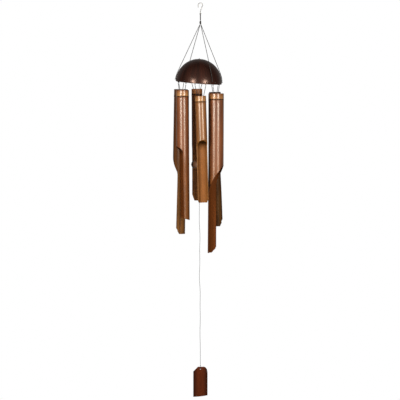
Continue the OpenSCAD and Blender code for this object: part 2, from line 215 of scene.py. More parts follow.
def sweep(name, points, radius, sides, step, taper, lobes=0, lobe_depth=0.0, pitch=1.0):
    """A round or lobed section carried along a line. A lobed one turns once per pitch, as laid rope does.
    Both ends close in a dome of length taper."""
    tip_share = 0.04
    path = resample(points, step)
    count = len(path)
    tangents = np.gradient(path, axis=0)
    tangents /= np.linalg.norm(tangents, axis=1)[:, None]
    side = np.cross(tangents[0], [0, 1, 0] if abs(tangents[0][1]) < 0.9 else [1, 0, 0])
    u = []
    for tangent in tangents:
        side = side - tangent * (side @ tangent)
        side = side / np.linalg.norm(side)
        u.append(side)
    u = np.array(u)
    v = np.cross(tangents, u)
    travel = np.concatenate([[0], np.cumsum(np.linalg.norm(np.diff(path, axis=0), axis=1))])
    angles = np.linspace(0, 2 * math.pi, sides, endpoint=False)
    turn = 2 * math.pi * travel / pitch if lobes else np.zeros(count)
    shape = 1 - lobe_depth * (1 - np.abs(np.cos(lobes * angles / 2)))
    to_end = np.clip(np.minimum(travel, travel[-1] - travel) / taper, 0, 1)
    thick = np.sqrt(np.clip(1 - (1 - to_end) ** 2, tip_share, 1))
    a = angles[None, :] + turn[:, None]
    r = radius * shape[None, :] * thick[:, None]
    ring = path[:, None, :] + (r * np.cos(a))[..., None] * u[:, None, :]
    ring = ring + (r * np.sin(a))[..., None] * v[:, None, :]
    verts = ring.reshape(-1, 3).tolist() + [path[0].tolist(), path[-1].tolist()]
    faces = grid_faces(count, sides, closed=True)
    first = count * sides
    base = first - sides
    faces += [(first, (j + 1) % sides, j) for j in range(sides)]
    faces += [(first + 1, base + j, base + (j + 1) % sides) for j in range(sides)]
    across = np.append(np.tile(angles * radius, count), [0, 0])
    down = np.append(np.repeat(travel, sides), [0, travel[-1]])
    grain = np.stack([across, np.zeros(first + 2), down], 1)
    return mesh_object(name, verts, faces, smooth_below=75, points={"grain": grain})


def rope(name, points, diameter=CORD_D):
    """Three-ply twisted cord. The plies stand out a little past the cord's own round."""
    ply_reach = 0.56
    lay = 2.6
    return sweep(name, points, diameter * ply_reach, sides=12, step=diameter / 3, taper=diameter / 3,
                 lobes=3, lobe_depth=0.25, pitch=lay * diameter)


def join(parts):
    """One object of several."""
    bpy.ops.object.select_all(action="DESELECT")
    for part in parts:
        part.select_set(True)
    bpy.context.view_layer.objects.active = parts[0]
    bpy.ops.object.join()
    return parts[0]


def knot(name, centre, size, diameter=CORD_D, axis=(0, 0, 1)):
    """A pulled-tight overhand knot, size across, that its cord enters along axis: a trefoil curve."""
    trefoil_reach = 3
    turn = Vector((0, 0, 1)).rotation_difference(Vector(axis))
    strand = min(diameter, size * 0.4)
    scale = (size - strand) / 2 / trefoil_reach
    loop = []
    for t in steps(0, 2 * math.pi, 48):
        x = math.sin(t) + 2 * math.sin(2 * t)
        y = math.cos(t) - 2 * math.cos(2 * t)
        z = -2.4 * math.sin(3 * t)
        loop.append(Vector(centre) + turn @ Vector((x * scale, y * scale, z * scale)))
    return rope(name, loop, strand)


def lathe(name, profile, middle, sides=96):
    """A turned piece: (radius, height) points revolved about the upright line through middle."""
    angles = np.linspace(0, 2 * math.pi, sides, endpoint=False)
    verts = []
    grain = []
    for r, z in profile:
        for a in angles:
            verts.append((middle.x + r * math.cos(a), middle.y + r * math.sin(a), middle.z + z))
            grain.append((r * math.cos(a), r * math.sin(a), z))
    faces = grid_faces(len(profile), sides, closed=True)
    return mesh_object(name, verts, faces, smooth_below=50, points={"grain": grain})


# ---------------------------------------------------------------- materials

PALE_BAND = (0.42, 0.26, 0.11)
NODE_LINE = (0.012, 0.006, 0.004)
# painted shade: the colour of the bore just below a cut's lip, where the lip shades it
PAINTED_LIP_SHADE = (0.008, 0.004, 0.002)


class Shader:
    """One node-based material under construction."""

    def __init__(self, name):
        self.material = bpy.data.materials.new(name)
        self.material.use_nodes = True
        self.tree = self.material.node_tree
        self.surface = self.tree.nodes["Principled BSDF"]
        self.grain = self.attribute("grain", "Vector")

    def node(self, kind, inputs, output=0, **settings):
        """Adds a node, fills its inputs by name or number, and returns one of its outputs."""
        made = self.tree.nodes.new(kind)
        for key, value in settings.items():
            setattr(made, key, value)
        for key, value in inputs.items():
            self.put(made.inputs[key], value)
        return made.outputs[output]

    def put(self, socket, value):
        """Links value to the socket if it is another node's output, or else sets it."""
        if isinstance(value, bpy.types.NodeSocket):
            self.tree.links.new(value, socket)
        else:
            socket.default_value = value

    def set(self, **inputs):
        """Fills inputs of the surface; underscores stand for spaces."""
        for key, value in inputs.items():
            self.put(self.surface.inputs[key.replace("_", " ")], value)

    def attribute(self, name, output):
        """A value that the mesh holds for its points or faces."""
        return self.node("ShaderNodeAttribute", {}, output, attribute_name=name)

    def noise(self, scale, detail=4, rough=0.6, shift=0.0):
        """Noise in the grain's coordinates; scale is cycles per metre across, across and along."""
        place = self.node("ShaderNodeMapping", {"Vector": self.grain, "Scale": scale,
                                                "Location": (shift, shift, shift)})
        return self.node("ShaderNodeTexNoise", {"Vector": place, "Scale": 1.0, "Detail": detail,
                                                "Roughness": rough})

    def ramp(self, value, stops):
        """Value turned into a grey or a colour by (place, value or colour) stops."""
        out = self.node("ShaderNodeValToRGB", {"Fac": value})
        elements = out.node.color_ramp.elements
        while len(elements) < len(stops):
            elements.new(0.5)
        for element, (place, colour) in zip(elements, stops):
            element.position = place
            element.color = (*colour, 1) if isinstance(colour, tuple) else (colour, colour, colour, 1)
        return out

    def mix(self, factor, a, b):
        """Colour a turned towards colour b."""
        a = a if isinstance(a, bpy.types.NodeSocket) else (*a, 1)
        b = b if isinstance(b, bpy.types.NodeSocket) else (*b, 1)
        return self.node("ShaderNodeMix", {0: factor, 6: a, 7: b}, 2, data_type="RGBA")

    def calc(self, operation, a, b=0.0):
        """One step of arithmetic."""
        return self.node("ShaderNodeMath", {0: a, 1: b}, operation=operation)

    def span(self, value, low, high, to_low=0.0, to_high=1.0):
        """Value between low and high mapped to between to_low and to_high, clamped."""
        return self.node("ShaderNodeMapRange", {"Value": value, "From Min": low, "From Max": high,
                                                "To Min": to_low, "To Max": to_high})

    def bump(self, height, strength, depth):
        """Lets height bend the surface's normals, as if it stood out by depth in metres."""
        normal = self.node("ShaderNodeBump", {"Height": height, "Strength": strength, "Distance": depth})
        self.set(Normal=normal)


def bamboo(name, base, dark, glow, inside, toe, gloss, bore_gloss=0.1):
    """Varnished, scorched bamboo: long fibres, dark blotches, a dark line and a pale band at the node.
    The bore is inside-coloured with painted shade just below the lip, the skin turns to the toe's colour
    lower down, and cut faces show fibres. Painted shade darkens the colour towards the silhouette's edges,
    and each tube's tone
    scales the colour: painted light above 1, painted shade below 1."""
    s = Shader(name)
    fibre = s.noise((1400, 1400, 26), detail=6, rough=0.65)
    streak = s.noise((130, 130, 5), detail=5, shift=3.0)
    blotch = s.noise((55, 55, 14), detail=3, shift=9.0)
    above_node = s.attribute("above_node", "Fac")
    below_lip = s.attribute("below_lip", "Fac")
    face = s.attribute("face", "Fac")
    # The skin turns to the toe's colour lower down; the dark rear tubes' lighter toe is painted light,
    # where their lower parts come out of the front tubes' shade
    base_here = s.mix(s.span(above_node, -0.12, -0.28), base, toe)
    skin = s.mix(s.ramp(blotch, [(0.42, 0.0), (0.72, 0.75)]), base_here, dark)
    skin = s.mix(s.ramp(streak, [(0.45, 0.0), (0.6, 0.7)]), skin, dark)
    skin = s.mix(s.ramp(fibre, [(0.4, 0.0), (0.75, 0.28)]), skin, glow)
    near = s.calc("ABSOLUTE", above_node)
    band = s.calc("MULTIPLY", s.span(above_node, 0.0006, 0.0022), s.span(above_node, 0.016, 0.005))
    band = s.calc("MULTIPLY", band, min(1, gloss))
    skin = s.mix(s.calc("MULTIPLY", band, s.ramp(streak, [(0.35, 0.9), (0.6, 0.2)])), skin, PALE_BAND)
    skin = s.mix(s.span(near, 0.0017, 0.0007, 0.0, 0.9), skin, NODE_LINE)
    cut_fibre = s.ramp(s.noise((2200, 2200, 60), detail=5, shift=5.0), [(0.3, dark), (0.7, base)])
    bore = s.mix(s.ramp(fibre, [(0.35, 0.0), (0.75, 0.6)]), inside, tuple(2.2 * c for c in inside))
    # Painted shade: the bore darkens towards the lip, which shades it
    bore = s.mix(s.span(below_lip, 0.004, 0.026), PAINTED_LIP_SHADE, bore)
    colour = s.mix(s.span(face, 0.4, 0.6), skin, bore)
    colour = s.mix(s.span(face, 1.4, 1.6), colour, cut_fibre)
    rough = s.ramp(s.noise((320, 320, 30), shift=1.0), [(0.3, 0.34), (0.75, 0.42)])
    rough = s.mix(s.span(face, 0.4, 0.6), rough, (0.6, 0.6, 0.6))
    # Painted shade: the colour darkens towards the silhouette's edges, where the surface turns away from
    # the view
    sideways = s.node("ShaderNodeLayerWeight", {"Blend": 0.5}, "Facing")
    # Painted light and shade: the tube's tone attribute scales the colour, brighter above 1 and darker
    # below 1
    tone = s.calc("MULTIPLY", s.attribute("tone", "Fac"), s.span(sideways, 0.3, 0.95, 1.0, 0.4))
    colour = s.node("ShaderNodeVectorMath", {0: colour, "Scale": tone}, operation="SCALE")
    dull = s.span(below_lip, 0.0, 0.05, 1.0, 0.3)
    coat = s.calc("MULTIPLY", dull, s.span(face, 0.4, 0.6, gloss, 0.0))
    deep = s.span(below_lip, 0.01, 0.04, 0.0, bore_gloss)
    shine = s.calc("MULTIPLY", dull, s.span(face, 0.4, 0.6, 0.4 * gloss, deep))
    s.set(Base_Color=colour, Roughness=rough, Coat_Weight=coat, Coat_Roughness=0.28,
          Coat_Tint=(1, 0.86, 0.72, 1), Specular_IOR_Level=shine)
    s.bump(s.calc("ADD", fibre, s.calc("MULTIPLY", streak, 0.8)), 0.05, 0.0002)
    return s.material


def coconut():
    """Polished coconut shell: nearly black brown with fine fibre lines that run up to the apex."""
    s = Shader("coconut_shell")
    fibre = s.noise((9, 900, 1400), detail=5, rough=0.7)
    blotch = s.noise((3, 60, 60), detail=4, shift=4.0)
    stain = s.ramp(blotch, [(0.35, 0.0), (0.7, 1.0)])
    colour = s.mix(stain, (0.004, 0.001, 0.0006), (0.02, 0.0035, 0.0014))
    colour = s.mix(s.ramp(fibre, [(0.5, 0.0), (0.75, 0.5)]), colour, (0.07, 0.018, 0.008))
    face = s.attribute("face", "Fac")
    colour = s.mix(s.span(face, 0.4, 0.6), colour, (0.03, 0.014, 0.008))
    colour = s.mix(s.span(face, 1.4, 1.6), colour, (0.01, 0.006, 0.005))
    rough = s.ramp(blotch, [(0.3, 0.22), (0.7, 0.3)])
    s.set(Base_Color=colour, Roughness=rough, Specular_IOR_Level=0.7,
          Specular_Tint=(1, 0.68, 0.58, 1))
    s.bump(s.calc("ADD", fibre, blotch), 0.3, 0.0003)
    return s.material


def wood(name, base, dark, grain_scale):
    """Dark varnished wood with grain lines."""
    s = Shader(name)
    ring = s.noise(grain_scale, detail=6, rough=0.65)
    tone = s.noise((70, 70, 50), detail=3, shift=6.0)
    colour = s.mix(s.ramp(ring, [(0.35, 0.0), (0.65, 1.0)]), base, dark)
    colour = s.mix(s.ramp(tone, [(0.35, 0.0), (0.75, 0.6)]), colour, dark)
    s.set(Base_Color=colour, Roughness=s.ramp(tone, [(0.3, 0.36), (0.7, 0.55)]), Coat_Weight=0.2)
    s.bump(ring, 0.35, 0.0003)
    return s.material


def sail_bamboo():
    """Split bamboo, varnished: a red-brown middle that darkens to both sides."""
    s = Shader("sail_bamboo")
    fibre = s.noise((1300, 200, 24), detail=6, rough=0.65)
    tone = s.noise((90, 90, 25), detail=3, shift=2.0)
    sideways = s.calc("ABSOLUTE", s.node("ShaderNodeSeparateXYZ", {0: s.grain}, 0))
    colour = s.mix(s.span(sideways, 0.006, 0.017), (0.08, 0.0135, 0.0016), (0.022, 0.005, 0.0024))
    colour = s.mix(s.ramp(tone, [(0.4, 0.0), (0.7, 0.5)]), colour, (0.016, 0.005, 0.003))
    colour = s.mix(s.ramp(fibre, [(0.4, 0.0), (0.7, 0.35)]), colour, (0.13, 0.03, 0.01))
    s.set(Base_Color=colour, Roughness=s.ramp(tone, [(0.3, 0.5), (0.7, 0.65)]),
          Specular_IOR_Level=0.08)
    s.bump(fibre, 0.4, 0.0003)
    return s.material


def thread(name, colour, sheen):
    """Twisted cord: fine strands along the plies and a soft sheen."""
    s = Shader(name)
    strands = s.noise((7000, 7000, 1600), detail=3, rough=0.6)
    tone = s.noise((300, 300, 60), detail=3, shift=8.0)
    lighter = tuple(min(1, 2.4 * c) for c in colour)
    shade = s.mix(s.ramp(strands, [(0.45, 0.0), (0.75, 0.6)]), colour, lighter)
    shade = s.mix(s.ramp(tone, [(0.4, 0.0), (0.8, 0.3)]), shade, lighter)
    s.set(Base_Color=shade, Roughness=s.ramp(strands, [(0.3, 0.5), (0.7, 0.75)]), Sheen_Weight=sheen)
    s.bump(strands, 0.5, 0.00012)
    return s.material


def steel():
    """Bright drawn wire with fine lines along it and slight tarnish."""
    s = Shader("steel_wire")
    drawn = s.noise((9000, 9000, 120), detail=4)
    tarnish = s.noise((400, 400, 160), detail=4, shift=2.0)
    colour = s.mix(s.ramp(tarnish, [(0.45, 0.0), (0.75, 0.7)]), (0.4, 0.4, 0.4), (0.22, 0.21, 0.2))
    rough = s.ramp(drawn, [(0.3, 0.4), (0.7, 0.52)])
    s.set(Base_Color=colour, Roughness=rough, Metallic=1.0)
    s.bump(drawn, 0.2, 0.00005)
    return s.material


finishes = {
    "steel_wire": steel(),
    "black_cord": thread("black_cord", (0.009, 0.008, 0.008), 0.1),
    "coconut_shell": coconut(),
    "red_bamboo": bamboo("red_bamboo", (0.15, 0.048, 0.014), (0.055, 0.015, 0.005), (0.32, 0.15, 0.055),
                         (0.078, 0.022, 0.0045), toe=(0.125, 0.045, 0.011), gloss=1.0),
    "golden_bamboo": bamboo("golden_bamboo", (0.19, 0.083, 0.02), (0.08, 0.028, 0.007), (0.36, 0.21, 0.065),
                            (0.14, 0.052, 0.012), toe=(0.21, 0.093, 0.024), gloss=1.0, bore_gloss=0.5),
    # dark_bamboo's toe is lighter than its base: painted light on the rear tubes' lower parts
    "dark_bamboo": bamboo("dark_bamboo", (0.13, 0.045, 0.015), (0.06, 0.02, 0.008), (0.28, 0.12, 0.04),
                          (0.08, 0.03, 0.011), toe=(0.22, 0.1, 0.028), gloss=0.2),
    "dark_wood": wood("dark_wood", (0.16, 0.07, 0.03), (0.06, 0.025, 0.012), (120, 120, 2600)),
    "sail_bamboo": sail_bamboo(),
    "pale_line": thread("pale_line", (0.02, 0.021, 0.023), 0.05),
}
slot_of = {part["node"]: part["material_slot"] for part in record["subparts"]}
body_of = {node: body for body, nodes in record["behaviour"]["bodies"].items() for node in nodes}


def show(obj, node):
    """obj takes the CAD node's place: its body, its material slot and that slot's finish."""
    obj.name = node + "_looks"
    obj.data.materials.clear()
    obj.data.materials.append(finishes[slot_of[node]])
    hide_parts(node)
    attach(obj, body_of[node])


# ---------------------------------------------------------------- hook and hanger

def circle_points(centre, r, start, end, x_way, y_way):
    """Points of an arc from start to end degrees in the plane of two unit vectors."""
    out = []
    for a in steps(math.radians(start), math.radians(end), 28):
        out.append(Vector(centre) + r * (math.cos(a) * Vector(x_way) + math.sin(a) * Vector(y_way)))
    return out


def make_hook():
    """Wire hook: a tip, an open crown, a slanting stem and an eye closed across it."""
    low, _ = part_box("hanging_hook")
    right, up, front = (1, 0, 0), (0, 0, 1), (0, 1, 0)
    crown_r = -low.x - WIRE_D / 2
    crown = Vector((0, 0, WIRE_D / 2 - crown_r))
    eye_r = 3.2 * MM
    tip_in = 0.4 * MM
    tip_drop = 6.5 * MM
    eye = Vector((0, 0, low.z + WIRE_D / 2 + eye_r))
    tip = crown + Vector((tip_in - crown_r, 0, -tip_drop))
    wire = [tip] + circle_points(crown, crown_r, 180, -48, right, up)
    wire += circle_points(eye, eye_r, 90, 430, front, up)
    show(sweep("hook", rounded(wire, 1.2 * MM), WIRE_D / 2, sides=20, step=0.35 * MM, taper=0.6 * MM),
         "hanging_hook")


def make_hanger():
    """Cord loop in the hook's eye and the wound knot that gathers the hanger cords."""
    top = pivot("hook_sway")
    foot = pivot("loop_swing")
    loop_r = WIRE_D / 2 + CORD_D / 2 + 0.2 * MM
    arc = circle_points(top, loop_r, 180, 0, (1, 0, 0), (0, 0, 1))
    spread = Vector((0.55 * CORD_D, 0, 0))
    under_eye = Vector((0, 0, -3 * MM))
    path = [foot - spread, top + under_eye - spread] + arc + [top + under_eye + spread, foot + spread]
    cord = rope("loop", rounded(path + [foot - spread], 0.6 * MM), 1.2 * CORD_D)
    show(cord, "hanger_loop")

    low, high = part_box("hanger_knot")
    strand = CORD_D * 0.95
    turns = 7.5
    height = high.z - low.z - strand
    coil = []
    for t in steps(0, 1, 220):
        bulge = math.sin(math.pi * t) ** 0.6
        r = (1.1 + 0.75 * bulge + 0.12 * math.sin(23 * t)) * MM
        a = 2 * math.pi * turns * t
        wander = 0.2 * MM * math.sin(9 * t)
        coil.append((r * math.cos(a) + wander, r * math.sin(a), low.z + strand / 2 + height * t))
    core = rope("core", [(0, 0, low.z + strand / 2), (0, 0, high.z - strand / 2)], 2.2 * MM)
    show(join([rope("coil", coil, strand), core]), "hanger_knot")


def make_hanger_cord(side, azimuth):
    """From the knot straight to the shell, round its side and through a hole near the rim."""
    a = math.radians(azimuth)
    top = pivot("canopy_twist")
    foot = top + 1.6 * MM * along(a)
    hole = at_rim(a, SHELL_R, HANGER_HOLE_UP)
    inside = hole - (SHELL_WALL + 3 * MM) * along(a)
    way = Vector((hole.x - foot.x, hole.y - foot.y, 0)).normalized()
    reach = (Vector((SHELL_MIDDLE.x, 0, 0)) - foot).dot(way)
    middle = Vector((foot.x, foot.y, SHELL_MIDDLE.z)) + reach * way
    clear = CORD_D / 2 + 0.5 * MM
    r = SHELL_H + clear
    flatten = (SHELL_R + clear) / r
    reach /= flatten
    rise = foot.z - SHELL_MIDDLE.z
    high = math.atan2(rise, -reach) - math.acos(r / math.hypot(reach, rise))
    low = math.asin((hole.z - SHELL_MIDDLE.z) / r)
    arc = circle_points(middle, r, math.degrees(high), math.degrees(low), way * flatten, (0, 0, 1))
    node = "hanger_cord_" + side
    cord = rope(node, rounded([foot] + arc + [inside], 1.5 * MM), 1.35 * CORD_D)
    end = knot("knot", inside, TIE_KNOT, axis=along(a))
    head = knot("knot", foot - Vector((0, 0, 0.2 * MM)), 1.5 * MM)
    show(join([cord, end, head]), node)


# ---------------------------------------------------------------- shell

def make_shell():
    """Half coconut shell with a wall, a rim sawn at a slope and a slightly uneven surface."""
    columns = 160
    edge_round = 0.012      # share of the radius that the rim's edge is rounded by
    edge_share = 0.03       # share of the height over which it is rounded
    azimuths = steps(0, 2 * math.pi, columns + 1)[:-1]
    verts = []
    grain = []
    share = steps(0, 0.06, 5)[:-1] + steps(0.06, 1, 44)
    rims = []
    for r, h in ((SHELL_R, SHELL_H), (SHELL_R - SHELL_WALL, SHELL_H - SHELL_WALL)):
        rims.append(len(verts))
        for k in share:
            for a in azimuths:
                low = math.atan(-math.tan(RIM_SLOPE) * r / h * math.cos(a - RIM_LOW))
                e = low + (math.radians(89.9) - low) * k
                rough = 1 + 0.003 * math.sin(3 * a + 2 * e) * math.cos(e) + 0.002 * math.sin(7 * a - 5 * e)
                edge = edge_round * max(0, 1 - k / edge_share) * (-1 if r == SHELL_R else 1)
                q = r * math.cos(e) * (rough + edge)
                verts.append(SHELL_MIDDLE + q * along(a) + Vector((0, 0, h * math.sin(e))))
                grain.append((e * 0.06, a * 0.06, r * 0.02))
    rows = len(share)
    faces = grid_faces(rows, columns, closed=True) + grid_faces(rows, columns, rims[1], closed=True)
    kinds = [SKIN] * ((rows - 1) * columns) + [BORE] * ((rows - 1) * columns)
    for j in range(columns):
        k = (j + 1) % columns
        faces.append((j, k, rims[1] + k, rims[1] + j))
        kinds.append(CUT)
    for start in rims:
        faces.append(tuple(start + (rows - 1) * columns + j for j in range(columns)))
        kinds.append(SKIN)
    shell = mesh_object("shell", verts, faces, smooth_below=60, points={"grain": grain},
                        per_face={"face": kinds})
    show(shell, "coconut_shell")


def cord_ends(tube):
    """A tube cord's two upper ends and its two bends under the diaphragm."""
    low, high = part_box(tube.name + "_tube")
    radius = (high.y - low.y) / 2 - RIDGE
    rock = hinge_axis(tube.name + "_rock")
    bends = [pivot(tube.name + "_rock") + side * HOLE_SPREAD * radius * rock for side in (-1, 1)]
    low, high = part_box(tube.name + "_cord")
    swing = hinge_axis(tube.name + "_swing")
    wide = high.x - low.x if abs(swing.x) > abs(swing.y) else high.y - low.y
    share = max(abs(swing.x), abs(swing.y))
    half = (wide - CORD_D * BALL) / 2 / share
    tops = [pivot(tube.name + "_swing") + side * half * swing for side in (-1, 1)]
    return tops, bends


def make_ties():
    """Two ties per tube cord: a knot outside the shell, a cord through it and a knot under the rim."""
    parts = []
    for tube in TUBES:
        for top in cord_ends(tube)[0]:
            flat = top - SHELL_MIDDLE
            a = math.atan2(flat.y, flat.x)
            hole = at_rim(a, SHELL_R, TIE_HOLE_UP)
            head = hole + 1.4 * MM * along(a)
            turn = Vector((top.x, top.y, hole.z))
            foot = top + Vector((0, 0, TIE_KNOT / 2 + CORD_D / 2 + 2 * GAP))
            parts.append(rope("tie", rounded([head, turn, foot], 1.2 * MM), 1.3 * CORD_D))
            parts.append(knot("head", head, HEAD_KNOT, axis=along(a)))
            parts.append(knot("foot", foot, TIE_KNOT))
    show(join(parts), "rim_ties")


def make_apex_tie():
    """The clapper cord's stopper: a knot on the apex, a cord through it and a knot inside."""
    low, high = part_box("apex_tie")
    x = (low.x + high.x) / 2
    foot = Vector((x, 0, low.z + TIE_KNOT / 2))
    head = Vector((x, 0, high.z - HEAD_KNOT / 2))
    cord = rope("cord", [foot, head])
    show(join([cord, knot("foot", foot, TIE_KNOT), knot("head", head, HEAD_KNOT)]), "apex_tie")


# ---------------------------------------------------------------- tubes

def soft_max(a, b, softness):
    """The larger of a and b with the corner between them rounded."""
    return (a + b + np.sqrt((a - b) ** 2 + softness ** 2)) / 2


class TubeShape:
    """Works out the kept part of a side-cut bamboo tube in its own straight frame, z down from its top."""

    def __init__(self, tube):
        self.tube = tube
        low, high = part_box(tube.name + "_tube")
        lean = math.radians(tube.lean)
        self.radius = (high.y - low.y) / 2 - RIDGE
        self.length = (high.z - low.z - 2 * self.radius * abs(math.sin(lean))) / math.cos(lean)
        self.node = -tube.node * MM
        to_top = Vector((0, 0, -self.node + DIAPHRAGM / 2 + CORD_D / 2 * BALL + GAP))
        self.turn = Matrix.Rotation(-lean, 4, "Y")
        self.top = pivot(tube.name + "_rock") + self.turn @ to_top
        lip = -tube.lip * MM
        first_lip = lip - tube.second_rise * MM
        self.cuts = [(math.radians(tube.opening), first_lip, tube.waist, tube.foot)]
        if tube.second_turn:
            self.cuts.insert(0, (math.radians(tube.opening + tube.second_turn), lip, 1.15, 1.1))
        self.seam = self.cuts[0][0]

    def skin(self, z):
        """Outer radius: rounded top edge, two ridges and a groove at the node, a slight taper."""
        up = (z - self.node) / MM
        ridges = RIDGE * (np.exp(-((up - 1.2) / 0.8) ** 2) + np.exp(-((up + 1.2) / 0.9) ** 2))
        groove = GROOVE * np.exp(-(up / 0.5) ** 2)
        top = TOP_ROUND * max(0, 1 + z / TOP_ROUND) ** 2
        return self.radius * (1 + TAPER * z / self.length) + ridges - groove - top

    def limit(self, cut, z):
        """How far out material is kept, towards the opening, at height z."""
        _, lip, waist, foot = cut
        r = self.radius
        if z >= lip:
            return 2 * r
        steep = r + (z - lip) * math.tan(math.radians(self.tube.cut))
        corner = lip - waist * r / math.tan(math.radians(self.tube.cut))
        share = (corner - z) / (corner + self.length)
        gentle = r * (1 - waist) + share * r * (waist - foot)
        return soft_max(steep, gentle, 0.12 * r)

    def kept(self, r, z):
        """First and last angle of the wall that is left at radius r and height z, and where the first
        cut's face crosses its middle."""
        start, end = self.seam, self.seam + 2 * math.pi
        for cut in self.cuts:
            reach = self.limit(cut, z)
            if reach < r:
                e = math.acos(max(-1, reach / r))
                start = max(start, cut[0] + e)
                end = min(end, cut[0] + 2 * math.pi - e)
        opening = math.radians(self.tube.opening)
        depth = self.tube.foot * self.radius - self.radius
        half = math.sqrt(self.radius ** 2 - max(0, depth) ** 2)
        for wide, high in self.tube.bevels:
            v = half - abs(wide) * MM * (1 - (z + self.length) / (high * MM))
            if v < half and abs(v) < r:
                if wide > 0:
                    start = max(start, opening + math.pi - math.asin(v / r))
                else:
                    end = min(end, opening + math.pi + math.asin(v / r))
        return start, end, min(self.limit(self.cuts[0], z), r)

    def place(self, r, angle, z):
        """The point in the tube's frame, with the cane's natural oval and the foot's slant."""
        q = r * (1 + 0.012 * math.cos(2 * angle + self.tube.node))
        rise = self.tube.foot_rise * MM
        if rise:
            outward = math.cos(angle - math.radians(self.tube.opening)) * r
            share = (outward + self.radius) / (self.radius * (2 - self.tube.foot))
            z = z + rise * share * max(0, 1 - (z + self.length) / (30 * MM))
        return (q * math.cos(angle), q * math.sin(angle), z)


def tube_rows(shape):
    """Heights of the rows of points, close together at the top, the node, the lip and the foot."""
    node, foot = shape.node, -shape.length
    lips = [cut[1] for cut in shape.cuts]
    near_node = 3 * MM
    foot_zone = 22 * MM
    stops = [(0, -TOP_ROUND, 5), (-TOP_ROUND, node + near_node, 6),
             (node + near_node, node - near_node, 25), (node - near_node, lips[0], 14),
             (lips[0] - BELOW_LIP, foot + foot_zone, 26), (foot + foot_zone, foot, 26)]
    runs = [np.linspace(*stop) for stop in stops]
    for lip in lips:
        runs.append(lip - BELOW_LIP * np.linspace(0, 1, 34) ** 2)
    return np.unique(np.round(np.concatenate(runs), 6))[::-1].tolist()


def tube_mesh(tube):
    """The tube's skin, cup, bore, diaphragm, cut faces and foot as one closed mesh."""
    shape = TubeShape(tube)
    columns = 73
    rows = tube_rows(shape)
    verts, faces, kinds = [], [], []

    def grid(lines, kind):
        offset = len(verts)
        for line in lines:
            verts.extend(line)
        made = grid_faces(len(lines), len(lines[0]), offset)
        faces.extend(made)
        kinds.extend([kind] * len(made))

    def ring(r, z, cut=True):
        start, end = shape.seam, shape.seam + 2 * math.pi
        if cut:
            start, end, _ = shape.kept(r, z)
        return [shape.place(r, a, z) for a in steps(start, end, columns)]

    inner_r = shape.radius - TUBE_WALL
    floor = shape.node + DIAPHRAGM / 2
    ceiling = shape.node - DIAPHRAGM / 2
    grid([ring(shape.skin(z), z) for z in rows], SKIN)
    cup = [(shape.skin(0), 0), (inner_r + 0.5 * MM, 0.1 * MM), (inner_r + 0.1 * MM, -0.4 * MM),
           (inner_r, -2 * MM), (inner_r, floor + 1.5 * MM), (inner_r - 1.2 * MM, floor),
           (inner_r / 2, floor - 0.3 * MM), (0, floor - 0.3 * MM)]
    grid([ring(r, z, cut=False) for r, z in cup], BORE)
    bore = [(0, ceiling), (inner_r / 2, ceiling), (inner_r - 2 * MM, ceiling),
            (inner_r - 0.5 * MM, ceiling - 0.6 * MM), (inner_r, ceiling - 2.5 * MM)]
    grid([ring(r, z, cut=False) for r, z in bore], BORE)
    below = [z for z in rows if z < ceiling - 2.5 * MM]
    grid([ring(inner_r, z) for z in [ceiling - 2.5 * MM] + below], BORE)

    left, right = [], []
    for z in rows:
        outer_start, outer_end, _ = shape.kept(shape.skin(z), z)
        if outer_end - outer_start > 2 * math.pi - 1e-6:
            continue
        inner_start, inner_end, reach = shape.kept(inner_r, z)
        if inner_end - inner_start > 2 * math.pi - 1e-6:
            reach = min(shape.limit(shape.cuts[0], z), shape.skin(z))
            middle = shape.place(reach, shape.seam, z)
            inner = (middle, middle)
        else:
            inner = (shape.place(inner_r, inner_start, z), shape.place(inner_r, inner_end, z))
        outer = (shape.place(shape.skin(z), outer_start, z), shape.place(shape.skin(z), outer_end, z))
        for strip, a, b in zip((left, right), outer, inner):
            strip.append([tuple(np.array(a) * (1 - t) + np.array(b) * t) for t in (0, 0.5, 1)])
    grid(left, CUT)
    grid(right, CUT)
    foot = -shape.length
    grid([ring(shape.skin(foot), foot), ring(inner_r, foot)], CUT)

    bend = 0.5 * MM * rng.uniform(-1, 1, 2)
    above, below, grain = [], [], []
    placed = []
    shift = rng.uniform(0, 1)
    for x, y, z in verts:
        sag = math.sin(math.pi * z / shape.length)
        placed.append(shape.top + shape.turn @ Vector((x + bend[0] * sag, y + bend[1] * sag, z)))
        grain.append((x + shift, y, z))
        above.append(z - shape.node)
        below.append(shape.cuts[0][1] - z)
    return mesh_object("tube", placed, faces, smooth_below=38,
                       points={"grain": grain, "above_node": above, "below_lip": below,
                               "tone": [tube.tone] * len(placed)},
                       per_face={"face": kinds})


def make_tube(tube):
    show(tube_mesh(tube), tube.name + "_tube")
    tops, bends = cord_ends(tube)
    line = rounded([tops[0], bends[0], bends[1], tops[1]], 0.8 * MM)
    show(rope("cord", line, 1.3 * CORD_D), tube.name + "_cord")


# ---------------------------------------------------------------- clapper and sail

